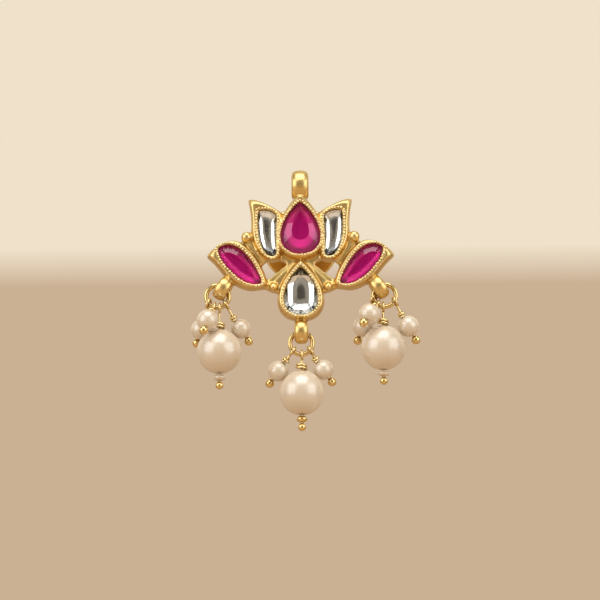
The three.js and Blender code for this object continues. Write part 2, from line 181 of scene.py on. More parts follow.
# Drops: the loop's x, z and tilt; the ring's lift in it; the main pin's angle on the ring and its lean; the
# main pearl's distance under the ring; the end bead's radius, half height and finish. Small pearls: the eye's
# angle on the ring, the pearl's centre from the ring's centre, and its radius.
DROPS = {
    "left": {
        "loop": (-10.27, -7.37, -35), "lift": 0.2, "pin": (8, 0.6),
        "pearl_drop": 7.36, "bead": (0.85, 0.45, "pearl"),
        "small": [
            (-22, (-1.25, -1.95, -3.53), 1.44),
            (-54, (-2.31, 1.9, -4.11), 1.33),
            (43, (3.02, 1, -4.18), 1.31),
        ],
    },
    "centre": {
        "loop": (0, -13.23, 0), "lift": -0.05, "pin": (0, 2.6),
        "pearl_drop": 6.63, "bead": (0.72, 0.46, "gold"),
        "small": [
            (-48, (-3.06, 1.05, -3.55), 1.36),
            (48, (2.88, 0.95, -3.42), 1.33),
        ],
    },
    "right": {
        "loop": (10.27, -7.37, 35), "lift": 0.12, "pin": (-10, 0.65),
        "pearl_drop": 7.01, "bead": (0.8, 0.38, "pearl"),
        "small": [
            (-44, (-2.09, -1.8, -2.8), 1.43),
            (-75, (-2.87, 1.75, -3.86), 1.37),
            (58, (3.1, 0.75, -4.02), 1.4),
        ],
    },
}

# The camera's aim: right of the origin, and down the picture from it, in metres
AIM = (-0.00013, 0.00867)
# Softboxes: name, the way to each from the place they light, its side in metres and its power in watts
SOFTBOXES = [
    ("top_softbox", (0, -0.42, 0.9), 0.26, 0.72),
    ("left_softbox", (-0.82, -0.57, 0.26), 0.26, 0.5),
    ("right_softbox", (0.82, -0.57, 0.24), 0.26, 0.46),
]
SOFTBOX_DISTANCE = 0.3
LIT_PLACE = Vector((0, 0, -0.01))
# Cards in front: name, place, width and height in metres, and colour
FLAGS = [
    ("front_flag", (0, -0.44, 0.06), 0.3, 0.24, "#C9CBCD"),
    ("lens_flag", (0, -0.42, 0.07), 0.08, 0.07, "#1D1B1A"),
]


def linear(hex_colour):
    """An sRGB hex value as the linear colour that the shaders take"""
    channels = [int(hex_colour[i:i + 2], 16) / 255 for i in (1, 3, 5)]
    return tuple(c / 12.92 if c <= 0.04045 else ((c + 0.055) / 1.055) ** 2.4 for c in channels)


class CastingSettings(bpy.types.PropertyGroup):
    """The gold-tone metal"""

    rim_height: FloatProperty(
        name="Rim height", description="Front of a bezel's rim over the flat back",
        default=0.0026, unit="LENGTH")
    centre_rim_height: FloatProperty(
        name="Centre rim height", description="Front of the middle bezel's rim over the flat back",
        default=0.00275, unit="LENGTH")
    grain: FloatProperty(
        name="Casting grain", description="Finest form that the casting keeps",
        default=0.00013, unit="LENGTH")
    milgrain_pitch: FloatProperty(
        name="Milgrain pitch", description="Spacing of the beads along a rim", default=0.0004, unit="LENGTH")
    milgrain_radius: FloatProperty(
        name="Milgrain radius", description="Radius of one bead on a rim", default=0.00018, unit="LENGTH")
    colour: FloatVectorProperty(
        name="Gold", description="Gold plate on open faces", default=linear("#DDBA72"), subtype="COLOR")
    # Painted shade: a darker gold laid into recesses and corners
    painted_shade_colour: FloatVectorProperty(
        name="Recess", description="Gold plate in recesses", default=linear("#855A22"), subtype="COLOR")
    # Painted highlight: a paler gold laid on convex edges and crests
    painted_highlight_colour: FloatVectorProperty(
        name="Edge", description="Gold plate rubbed bright on edges",
        default=linear("#F0DEAA"), subtype="COLOR")


class StoneSettings(bpy.types.PropertyGroup):
    """The foil-backed stones"""

    crown_angle: FloatProperty(
        name="Crown angle", description="Slope of the front facets",
        default=math.radians(36), subtype="ANGLE")
    foil_angle: FloatProperty(
        name="Foil angle", description="Slope of the foiled facets", default=math.radians(8), subtype="ANGLE")
    seat: FloatProperty(
        name="Seat", description="How far under its rim a stone is held", default=0.00052, unit="LENGTH")
    ruby: FloatVectorProperty(
        name="Ruby glass", description="Colour of light that went in and out",
        default=linear("#DE1E86"), subtype="COLOR")
    clear: FloatVectorProperty(
        name="Clear glass", description="Colour of light that went in and out",
        default=linear("#FBFCFA"), subtype="COLOR")
    foil: FloatVectorProperty(
        name="Foil", description="Silver foil behind a stone", default=linear("#F1F0EC"), subtype="COLOR")


class DropSettings(bpy.types.PropertyGroup):
    """The rings, pins and pearls"""

    ring_wire: FloatProperty(
        name="Ring wire", description="Radius of a jump ring's wire", default=0.0003, unit="LENGTH")
    pin_wire: FloatProperty(
        name="Pin wire", description="Radius of a head pin's wire", default=0.00016, unit="LENGTH")
    pearl: FloatVectorProperty(
        name="Pearl", description="Body colour of the pearls", default=linear("#D6C8AE"), subtype="COLOR")
    pearl_shade: FloatVectorProperty(
        name="Pearl shade", description="Deeper tone in the pearls",
        default=linear("#CFBFA2"), subtype="COLOR")


class StageSettings(bpy.types.PropertyGroup):
    """Camera, light and backdrop"""

    lens: FloatProperty(name="Lens", description="Focal length", default=150, unit="CAMERA")
    distance: FloatProperty(name="Distance", description="Camera to the part", default=0.333, unit="LENGTH")
    pitch: FloatProperty(
        name="Pitch", description="How far the camera looks up",
        default=math.radians(10), subtype="ANGLE")
    roll: FloatProperty(
        name="Roll", description="Turn round the view",
        default=math.radians(-0.5), subtype="ANGLE")
    air: FloatVectorProperty(
        name="Air", description="Cool daylight that fills the room",
        default=linear("#DDE3EB"), subtype="COLOR")
    backdrop: FloatVectorProperty(
        name="Backdrop", description="Upper backdrop", default=linear("#EEE0C9"), subtype="COLOR")
    sweep: FloatVectorProperty(
        name="Sweep", description="Lower backdrop and floor", default=linear("#C9AF92"), subtype="COLOR")


def add_node(tree, kind, inputs=None, **settings):
    """Adds one node. Each input is a value, or a link from another node's output."""
    node = tree.nodes.new(kind)
    for name, value in settings.items():
        setattr(node, name, value)
    for name, value in (inputs or {}).items():
        if isinstance(value, bpy.types.NodeSocket):
            tree.links.new(value, node.inputs[name])
        else:
            node.inputs[name].default_value = value
    return node


def new_material(name):
    material = bpy.data.materials.get(name)
    if material:
        return material, None, None
    material = bpy.data.materials.new(name)
    material.use_nodes = True
    return material, material.node_tree, material.node_tree.nodes["Principled BSDF"]


# Plate finishes: least and most roughness, and how strongly the skin's lumps show
PLATE_FINISH = {"cast": (0.26, 0.42, 0.2), "drawn": (0.14, 0.22, 0.05)}
FOIL_ROUGHNESS = {"ruby": 0.4, "clear": 0.12}


def gold_plate(made):
    """Gold-plated brass, with a painted highlight on edges and painted shade in recesses. It is finely uneven
    where cast, and smooth where drawn."""
    settings = bpy.context.scene.earring_casting
    material, tree, shader = new_material(f"gold_plated_brass_{made}")
    if not tree:
        return material
    place = add_node(tree, "ShaderNodeTexCoord").outputs["Object"]
    form = add_node(tree, "ShaderNodeNewGeometry").outputs["Pointiness"]
    smoothest, roughest, lumps = PLATE_FINISH[made]
    # Casting skin: soft lumps about 0.4 mm apart
    skin = add_node(
        tree, "ShaderNodeTexNoise", {"Vector": place, "Scale": 2600.0, "Detail": 4.0, "Roughness": 0.6})
    # Painted shade and highlight: concave places take the recess colour, convex edges the paler edge colour
    shade_and_highlight_by_form = add_node(tree, "ShaderNodeValToRGB", {"Fac": form})
    ramp = shade_and_highlight_by_form.color_ramp
    ramp.elements[0].position, ramp.elements[0].color = 0.42, (*settings.painted_shade_colour, 1)
    ramp.elements[1].position, ramp.elements[1].color = 0.62, (*settings.painted_highlight_colour, 1)
    ramp.elements.new(0.5).color = (*settings.colour, 1)
    # Painted shade: the ambient occlusion node darkens corners narrower than about 0.5 mm towards the recess
    # colour
    corner_shade = add_node(tree, "ShaderNodeAmbientOcclusion", {"Distance": 0.0005}, samples=6)
    depth = add_node(
        tree, "ShaderNodeMapRange", {"Value": corner_shade.outputs["AO"], "From Min": 0.1, "From Max": 0.65})
    tint = add_node(tree, "ShaderNodeMix", {"Factor": depth.outputs["Result"]}, data_type="RGBA")
    tint.inputs[6].default_value = (*settings.painted_shade_colour, 1)
    tree.links.new(shade_and_highlight_by_form.outputs["Color"], tint.inputs[7])
    tree.links.new(tint.outputs[2], shader.inputs["Base Color"])
    shader.inputs["Metallic"].default_value = 1.0
    satin = add_node(
        tree, "ShaderNodeMapRange", {"Value": skin.outputs["Fac"], "To Min": smoothest, "To Max": roughest})
    tree.links.new(satin.outputs["Result"], shader.inputs["Roughness"])
    bump = add_node(
        tree, "ShaderNodeBump", {"Height": skin.outputs["Fac"], "Strength": lumps, "Distance": 0.00008})
    tree.links.new(bump.outputs["Normal"], shader.inputs["Normal"])
    return material


def silver_foil(kind):
    """Silver foil, pressed behind a stone: a mirror with a faint crinkle, softer behind the ruby glass."""
    material, tree, shader = new_material(f"silver_foil_{kind}")
    if not tree:
        return material
    place = add_node(tree, "ShaderNodeTexCoord").outputs["Object"]
    # Crinkles about 0.7 mm apart
    crinkle = add_node(tree, "ShaderNodeTexNoise", {"Vector": place, "Scale": 1400.0, "Detail": 2.0})
    shader.inputs["Base Color"].default_value = (*bpy.context.scene.earring_stones.foil, 1)
    shader.inputs["Metallic"].default_value = 1.0
    shader.inputs["Roughness"].default_value = FOIL_ROUGHNESS[kind]
    bump = add_node(
        tree, "ShaderNodeBump", {"Height": crinkle.outputs["Fac"], "Strength": 0.25, "Distance": 0.00005})
    tree.links.new(bump.outputs["Normal"], shader.inputs["Normal"])
    return material


def stone_glass(kind):
    """Lead glass, ground and polished: sharp reflections over a deep body colour."""
    material, tree, shader = new_material(f"{kind}_lead_glass")
    if not tree:
        return material
    colour = getattr(bpy.context.scene.earring_stones, kind)
    place = add_node(tree, "ShaderNodeTexCoord").outputs["Object"]
    # Wisps in the melt, about 2 mm long
    wisps = add_node(tree, "ShaderNodeTexNoise", {"Vector": place, "Scale": 500.0, "Detail": 2.0})
    tint = add_node(tree, "ShaderNodeValToRGB", {"Fac": wisps.outputs["Fac"]})
    tint.color_ramp.elements[0].position = 0.3
    tint.color_ramp.elements[0].color = (*[c * 0.86 for c in colour], 1)
    tint.color_ramp.elements[1].position = 0.7
    tint.color_ramp.elements[1].color = (*colour, 1)
    tree.links.new(tint.outputs["Color"], shader.inputs["Base Color"])
    shader.inputs["Transmission Weight"].default_value = 1.0
    shader.inputs["IOR"].default_value = 1.56
    shader.inputs["Roughness"].default_value = 0.03
    return material


def pearl_lacquer():
    """Glass pearl with a nacre lacquer: a cream body under a soft, broad gloss."""
    settings = bpy.context.scene.earring_drops
    material, tree, shader = new_material("nacre_pearl")
    if not tree:
        return material
    place = add_node(tree, "ShaderNodeTexCoord").outputs["Object"]
    # Cloudy tones about 4 mm wide
    clouds = add_node(tree, "ShaderNodeTexNoise", {"Vector": place, "Scale": 260.0, "Detail": 1.0})
    body = add_node(tree, "ShaderNodeValToRGB", {"Fac": clouds.outputs["Fac"]})
    body.color_ramp.elements[0].position = 0.32
    body.color_ramp.elements[0].color = (*settings.pearl_shade, 1)
    body.color_ramp.elements[1].position = 0.68
    body.color_ramp.elements[1].color = (*settings.pearl, 1)
    tree.links.new(body.outputs["Color"], shader.inputs["Base Color"])
    shader.inputs["Roughness"].default_value = 0.38
    shader.inputs["IOR"].default_value = 1.6
    shader.inputs["Coat Weight"].default_value = 1.0
    shader.inputs["Coat Roughness"].default_value = 0.29
    shader.inputs["Coat IOR"].default_value = 2.0
    shader.inputs["Coat Tint"].default_value = (*linear("#FFFAF8"), 1)
    return material


def deselect():
    if bpy.context.object and bpy.context.object.mode != "OBJECT":
        bpy.ops.object.mode_set(mode="OBJECT")
    bpy.ops.object.select_all(action="DESELECT")


def only(piece):
    deselect()
    piece.select_set(True)
    bpy.context.view_layer.objects.active = piece


def joined(name, pieces):
    only(pieces[0])
    for piece in pieces:
        piece.select_set(True)
    if len(pieces) > 1:
        bpy.ops.object.join()
    bpy.context.object.name = name
    return bpy.context.object


def copy_of(piece, name, matrix):
    """A copy with its own mesh, in another place"""
    only(piece)
    bpy.ops.object.duplicate()
    copy = bpy.context.object
    copy.name = name
    copy.matrix_world = matrix @ copy.matrix_world
    bpy.ops.object.transform_apply(location=True, rotation=True, scale=True)
    return copy


def modified(piece, kind, **settings):
    only(piece)
    bpy.ops.object.modifier_add(type=kind)
    modifier = piece.modifiers[-1]
    for name, value in settings.items():
        setattr(modifier, name, value)
    bpy.ops.object.modifier_apply(modifier=modifier.name)


def finished(piece, body, materials, nodes, smooth_angle):
    """Brings a piece from millimetres to metres and hangs it in the frame in place of its nodes."""
    only(piece)
    piece.matrix_world = Matrix.Scale(MM, 4) @ piece.matrix_world
    bpy.ops.object.transform_apply(location=True, rotation=True, scale=True)
    bpy.ops.object.shade_smooth_by_angle(angle=math.radians(smooth_angle))
    piece.data.materials.clear()
    for material in materials:
        piece.data.materials.append(material)
    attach(piece, body)
    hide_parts(*nodes)
    return piece


def drawn_out(name, loops, closed=False):
    """Extrudes a circle's rim from one outline to the next. The ends are capped, or joined to each other."""
    deselect()
    bpy.ops.mesh.primitive_circle_add(vertices=len(loops[0]), radius=1)
    piece = bpy.context.object
    piece.name = name
    for vertex, point in zip(piece.data.vertices, loops[0]):
        vertex.co = point
    bpy.ops.object.mode_set(mode="EDIT")
    bpy.ops.mesh.select_all(action="SELECT")
    if not closed:
        bpy.ops.mesh.edge_face_add()
    steps = [*loops, loops[0]] if closed else loops
    for before, after in zip(steps, steps[1:]):
        bpy.ops.mesh.extrude_region_move()
        tree = kdtree.KDTree(len(before))
        for index, point in enumerate(before):
            tree.insert(point, index)
        tree.balance()
        mesh = bmesh.from_edit_mesh(piece.data)
        for vertex in mesh.verts:
            if vertex.select:
                vertex.co = after[tree.find(vertex.co)[1]]
        bmesh.update_edit_mesh(piece.data)
    bpy.ops.mesh.select_all(action="SELECT")
    bpy.ops.mesh.remove_doubles(threshold=0.0005)
    bpy.ops.mesh.normals_make_consistent(inside=False)
    bpy.ops.object.mode_set(mode="OBJECT")
    return piece


def turned(profile, axis, steps):
    """The loops of a profile, given as radius and place along an axis, that turns round that axis"""
    loops = []
    for radius, along in profile:
        loop = []
        for i in range(steps):
            angle = 2 * math.pi * i / steps
            across, up = radius * math.cos(angle), radius * math.sin(angle)
            places = {"X": (along, across, up), "Y": (across, along, up), "Z": (across, up, along)}
            loop.append(Vector(places[axis]))
        loops.append(loop)
    return loops


def pear_points(outline, steps=120):
    """Down the right side and up the left; the half-width grows from the point and closes in a round end."""
    widest = PEAR_POINT / (PEAR_POINT + PEAR_FOOT)
    length = outline["bottom"] - outline["top"]
    side = []
    for i in range(steps + 1):
        way = (1 - math.cos(math.pi * i / steps)) / 2
        wide = (way / widest) ** PEAR_POINT * ((1 - way) / (1 - widest)) ** PEAR_FOOT
        side.append((outline["half_width"] * wide, outline["top"] + length * way))
    return side + [(-x, z) for x, z in reversed(side[1:-1])]


def curve_weights(t):
    """The weights of a cubic curve's four points"""
    return (1 - t) ** 3, 3 * t * (1 - t) ** 2, 3 * t * t * (1 - t), t ** 3


def span_points(outline, side=1, steps=40):
    """An outline of curved spans, on either side of the part"""
    points = []
    start = outline["start"]
    for first, second, end in outline["spans"]:
        for i in range(steps):
            pulls = list(zip(curve_weights(i / steps), (start, first, second, end)))
            points.append(tuple(sum(weight * point[k] for weight, point in pulls) for k in (0, 1)))
        start = end
    return [(side * x, z) for x, z in points]


def round_from(points, centre, count):
    """Points of an outline at even angles round a centre, with its sharpest corners kept"""
    angles = [math.atan2(z - centre[1], x - centre[0]) for x, z in points]
    loop = []
    for k in range(count):
        angle = 2 * math.pi * k / count
        best = None
        for i, (x, z) in enumerate(points):
            j = (i + 1) % len(points)
            start = (angles[i] - angle + math.pi) % (2 * math.pi) - math.pi
            end = (angles[j] - angle + math.pi) % (2 * math.pi) - math.pi
            if start * end <= 0 and abs(start - end) < 1:
                part = start / (start - end) if start != end else 0
                point = (x + part * (points[j][0] - x), z + part * (points[j][1] - z))
                far = math.hypot(point[0] - centre[0], point[1] - centre[1])
                if best is None or far > best[0]:
                    best = (far, point)
        loop.append(best[1])
    for i, (x, z) in enumerate(points):
        before, after = points[i - 4], points[(i + 4) % len(points)]
        turn = math.atan2(after[1] - z, after[0] - x) - math.atan2(z - before[1], x - before[0])
        if abs((turn + math.pi) % (2 * math.pi) - math.pi) > 0.8:
            angle = (angles[i] / (2 * math.pi) * count) % count
            loop[round(angle) % count] = (x, z)
    return loop


def grown(points, by):
    """An outline moved outwards by a distance"""
    area = sum(a[0] * b[1] - b[0] * a[1] for a, b in zip(points, points[1:] + points[:1]))
    sign = by if area > 0 else -by
    moved = []
    for i, (x, z) in enumerate(points):
        before, after = points[i - 1], points[(i + 1) % len(points)]
        along = Vector((after[0] - before[0], after[1] - before[1])).normalized()
        moved.append((x + sign * along.y, z - sign * along.x))
    return moved


def at_height(points, height):
    return [Vector((x, -height, z)) for x, z in points]


def bezels():
    """Each bezel: its name, wall, window, middle and rim height"""
    casting = bpy.context.scene.earring_casting
    rim = casting.rim_height / MM
    centre_rim = casting.centre_rim_height / MM
    listed = [
        ("centre", pear_points(CENTRE_WALL), pear_points(CENTRE_WINDOW), MIDDLES["centre"], centre_rim),
        ("lower", pear_points(LOWER_WALL), pear_points(LOWER_WINDOW), MIDDLES["lower"], rim),
    ]
    paired = {"petal": (PETAL_WALL, PETAL_WINDOW), "marquise": (MARQUISE_WALL, MARQUISE_WINDOW)}
    for hand, side in (("left", -1), ("right", 1)):
        for name, (wall, window) in paired.items():
            x, z = MIDDLES[name]
            outlines = (span_points(wall, side), span_points(window, side))
            listed.append((f"{name}_{hand}", *outlines, (side * x, z), rim))
    return listed


def bezel(name, wall, window, centre, rim):
    loops = []
    sides = list(zip(round_from(wall, centre, 160), round_from(window, centre, 160)))
    for share, added, height in BEZEL_SECTION:
        loop = []
        for outer, inner in sides:
            way = Vector(inner) - Vector(outer)
            loop.append(Vector(outer) + way * share + way.normalized() * added)
        loops.append(at_height(loop, height if height >= 0 else rim + height))
    return drawn_out(name, loops)


def loop_band(name, x, z, tilt, hole, outer, width):
    widest = hole + (outer - hole) * 0.3
    profile = []
    for i in range(20):
        turn = 2 * math.pi * i / 20
        reach, across = (math.copysign(abs(v) ** 0.8, v) for v in (math.cos(turn), math.sin(turn)))
        room = outer - widest if reach > 0 else widest - hole
        profile.append((widest + reach * room, width / 2 * across))
    turn = Matrix.Translation((x, -LOOP_AXIS_HEIGHT, z)) @ Matrix.Rotation(-math.radians(tilt), 4, "Y")
    band = drawn_out(name, [[turn @ p for p in loop] for loop in turned(profile, "X", 48)], closed=True)
    if name == "top_loop":
        return [band]
    neck = turned([(0.62, outer - 0.8), (0.62, outer + 0.6)], "Z", 24)
    return [band, drawn_out(f"{name}_neck", [[turn @ p for p in loop] for loop in neck])]


class EARRING_OT_lotus_casting(bpy.types.Operator):
    """Models the cast frame with its bezels, webs, granules, loops, post and milgrain"""

    bl_idname = "earring.lotus_casting"
    bl_label = "Lotus casting"

    def execute(self, context):
        settings = context.scene.earring_casting
        forms = [bezel(*each) for each in bezels()]
        for side in (-1, 1):
            for name, web in (("strut", STRUT_WEB), ("shoulder", SHOULDER_WEB)):
                outline = [(side * x, z) for x, z in web]
                forms.append(drawn_out(name, [at_height(outline, 0), at_height(outline, WEB_HEIGHT)]))
            for line, radius in WEB_BARS:
                crest = [(side * x, z) for x, z in line]
                forms.append(wire_along("bar", at_height(crest, BAR_HEIGHT), radius))
            for x, z, radius in GRANULES:
                deselect()
                bpy.ops.mesh.primitive_uv_sphere_add(
                    segments=32, ring_count=20, radius=radius, location=(side * x, -GRANULE_HEIGHT, z))
                bpy.ops.object.transform_apply(location=True)
                forms.append(context.object)
        forms += loop_band("top_loop", **TOP_LOOP)
        for name, drop in DROPS.items():
            x, z, tilt = drop["loop"]
            forms += loop_band(f"{name}_loop", x, z, tilt, **DROP_LOOP)
        forms.append(drawn_out("post", turned(POST_PROFILE, "Y", 40)))
        casting = joined("lotus_casting", forms)
        modified(casting, "REMESH", mode="VOXEL", voxel_size=settings.grain / MM, adaptivity=0)
        modified(casting, "SMOOTH", factor=0.5, iterations=7)
        # The back is ground flat
        for vertex in casting.data.vertices:
            if abs(vertex.co.y) < GROUND_BACK:
                vertex.co.y = 0
        beads = self.milgrain(settings)
        casting = joined("lotus_casting", [casting, *beads])
        finished(casting, "lotus", [gold_plate("cast")], ["lotus_frame"], 60)
        return {"FINISHED"}

    def milgrain(self, settings):
        pitch, radius = settings.milgrain_pitch / MM, settings.milgrain_radius / MM
        deselect()
        bpy.ops.mesh.primitive_ico_sphere_add(subdivisions=2, radius=radius)
        bead = bpy.context.object
        bpy.ops.object.mode_set(mode="EDIT")
        bpy.ops.mesh.select_all(action="SELECT")
        bpy.ops.mesh.bisect(
            plane_co=(0, radius * 0.6, 0), plane_no=(0, 1, 0), use_fill=True, clear_outer=True, threshold=1e-5)
        bpy.ops.object.mode_set(mode="OBJECT")
        beads = []
        hand = random.Random(4)
        for _, _, window, _, rim in bezels():
            line = grown(window, MILGRAIN_LINE)
            lengths = [math.dist(a, b) for a, b in zip(line, line[1:] + line[:1])]
            count = round(sum(lengths) / pitch)
            step = sum(lengths) / count
            passed, due = 0.0, 0.0
            for a, b, length in zip(line, line[1:] + line[:1], lengths):
                while length and due <= passed + length:
                    part = (due - passed) / length
                    copy = bead.copy()
                    copy.data = bead.data.copy()
                    bpy.context.collection.objects.link(copy)
                    x, z = (start + part * (end - start) for start, end in zip(a, b))
                    slip = [hand.uniform(-MILGRAIN_UNEVEN, MILGRAIN_UNEVEN) for _ in range(3)]
                    copy.location = Vector((x, MILGRAIN_SINK - rim, z)) + Vector(slip)
                    copy.scale = [hand.uniform(0.8, 1.25) for _ in range(3)]
                    beads.append(copy)
                    due += step
                passed += length
        bpy.data.objects.remove(bead)
        return beads


class EARRING_OT_stones(bpy.types.Operator):
    """Cuts the foil-backed stones"""

    bl_idname = "earring.stones"
    bl_label = "Stones"

    def execute(self, context):
        nodes = {
            "centre": ("ruby_pear", "ruby"), "lower": ("clear_pear", "clear"),
            "petal_left": ("clear_petal_left", "clear"), "petal_right": ("clear_petal_right", "clear"),
            "marquise_left": ("ruby_marquise_left", "ruby"),
            "marquise_right": ("ruby_marquise_right", "ruby"),
        }
        for name, _, window, _, rim in bezels():
            node, kind = nodes[name]
            self.cut(name, node, window, rim, kind)
        return {"FINISHED"}

    def cut(self, name, node, window, rim, kind):
        settings = bpy.context.scene.earring_stones
        side = -1 if name.endswith("left") else 1
        (x, z), turn, along, across, facet = TABLES[name.split("_")[0]]
        middle = (side * x, z)
        window = round_from(window, middle, 96)
        girdle = grown(window, GIRDLE_OVERLAP)
        top = self.drawn_in(window, middle, -side * turn, along, across)
        if name == "lower":
            top = round_from(LOWER_TABLE + [(-x, z) for x, z in reversed(LOWER_TABLE[1:-1])], middle, 96)
        crown = rim - settings.seat / MM
        table = crown + facet * math.tan(settings.crown_angle)
        foil = crown - GIRDLE_THICKNESS
        depth = facet * math.tan(settings.foil_angle)
        dip = self.drawn_in(top, middle, 0, FOIL_DIP["share"], FOIL_DIP["share"])
        loops = [
            at_height(dip, foil - depth * FOIL_DIP["depth"]), at_height(top, foil - depth),
            at_height(girdle, foil), at_height(girdle, crown), at_height(top, table),
        ]
        piece = drawn_out(f"{node}_cut", loops)
        finished(piece, "lotus", [stone_glass(kind), silver_foil(kind)], [node], 20)
        for face in piece.data.polygons:
            face.material_index = 1 if face.normal.y > -0.25 else 0

    def drawn_in(self, points, centre, turn, along, across):
        """An outline drawn in towards a centre, along and across a turned axis"""
        middle = Vector(centre)
        there = Matrix.Rotation(-math.radians(turn), 2)
        back = Matrix.Rotation(math.radians(turn), 2)
        drawn = []
        for point in points:
            local = there @ (Vector(point) - middle)
            drawn.append(tuple(back @ Vector((local.x * across, local.y * along)) + middle))
        return drawn


class EARRING_OT_ear_nut(bpy.types.Operator):
    """Turns the disc nut on the post"""

    bl_idname = "earring.ear_nut"
    bl_label = "Ear nut"

    def execute(self, context):
        nut = drawn_out("ear_nut_turned", turned(NUT_PROFILE, "Y", 72), closed=True)
        finished(nut, "lotus", [gold_plate("drawn")], ["ear_nut"], 40)
        return {"FINISHED"}


def on_ring(angle):
    return Vector((math.sin(angle), 0, -math.cos(angle))) * RING_RADIUS


def hung(eye, way):
    """Turns a piece so that its -Z runs the way it hangs, with its X along the ring's wire"""
    wire = Vector((-eye.z, 0, eye.x)).normalized()
    up = -way
    back = up.cross(wire).normalized()
    across = back.cross(up)
    turn = Matrix((across, back, up)).transposed().to_4x4()
    return Matrix.Translation(eye + way * EYE_SAG) @ turn


def drop_places():
    """Each drop: its name, ring's place and tilt, end bead, and for each pin its node, its pearl's node, its
    place, and the pearl's distance and radius"""
    for name, drop in DROPS.items():
        x, z, tilt = drop["loop"]
        hang = 1 - drop["lift"] / RING_RADIUS
        centre = Vector((x, -LOOP_AXIS_HEIGHT, z)) + on_ring(math.radians(tilt)) * hang
        place = Matrix.Translation(centre)
        pin_angle, lean = map(math.radians, drop["pin"])
        eye = on_ring(pin_angle)
        main = place @ hung(eye, Vector((0, -math.sin(lean), -math.cos(lean))))
        pins = [(f"{name}_pin", f"{name}_pearl", main, drop["pearl_drop"] + eye.z - EYE_SAG, MAIN_PEARL)]
        for index, (eye_angle, pearl, radius) in enumerate(drop["small"], 1):
            eye = on_ring(math.radians(eye_angle))
            way = Vector(pearl) - eye
            held = place @ hung(eye, way.normalized())
            nodes = (f"{name}_small_pin_{index}", f"{name}_small_pearl_{index}")
            pins.append((*nodes, held, way.length - EYE_SAG, radius))
        yield name, place, math.radians(tilt), drop["bead"], pins


class EARRING_OT_jump_rings(bpy.types.Operator):
    """Bends the jump rings, each with its cut inside the loop that holds it"""

    bl_idname = "earring.jump_rings"
    bl_label = "Jump rings"

    def execute(self, context):
        wire = context.scene.earring_drops.ring_wire / MM
        deselect()
        bpy.ops.mesh.primitive_circle_add(
            vertices=20, radius=wire, fill_type="NGON", location=(RING_RADIUS, 0, 0))
        bpy.ops.object.transform_apply(location=True)
        ring = context.object
        bpy.ops.object.mode_set(mode="EDIT")
        bpy.ops.mesh.select_all(action="SELECT")
        bpy.ops.mesh.spin(steps=72, angle=math.radians(357), center=(0, 0, 0), axis=(0, 1, 0))
        bpy.ops.mesh.select_all(action="SELECT")
        bpy.ops.mesh.remove_doubles(threshold=0.0005)
        bpy.ops.mesh.normals_make_consistent(inside=False)
        bpy.ops.object.mode_set(mode="OBJECT")
        for name, place, tilt, _, _ in drop_places():
            turn = Matrix.Rotation(-math.pi / 2 - tilt, 4, "Y")
            copy = copy_of(ring, f"{name}_jump_ring", place @ turn)
            finished(copy, f"{name}_drop", [gold_plate("drawn")], [f"{name}_ring"], 40)
        bpy.data.objects.remove(ring)
        return {"FINISHED"}


def wire_along(name, points, radius):
    """Draws a wire with rounded section along a line of points"""
    deselect()
    bpy.ops.curve.primitive_nurbs_path_add()
    wire = bpy.context.object
    wire.name = name
    wire.data.splines.clear()
    spline = wire.data.splines.new("POLY")
    spline.points.add(len(points) - 1)
    for point, place in zip(spline.points, points):
        point.co = (*place, 1)
    wire.data.bevel_depth = radius
    wire.data.bevel_resolution = 3
    wire.data.use_fill_caps = True
    bpy.ops.object.convert(target="MESH")
    return bpy.context.object


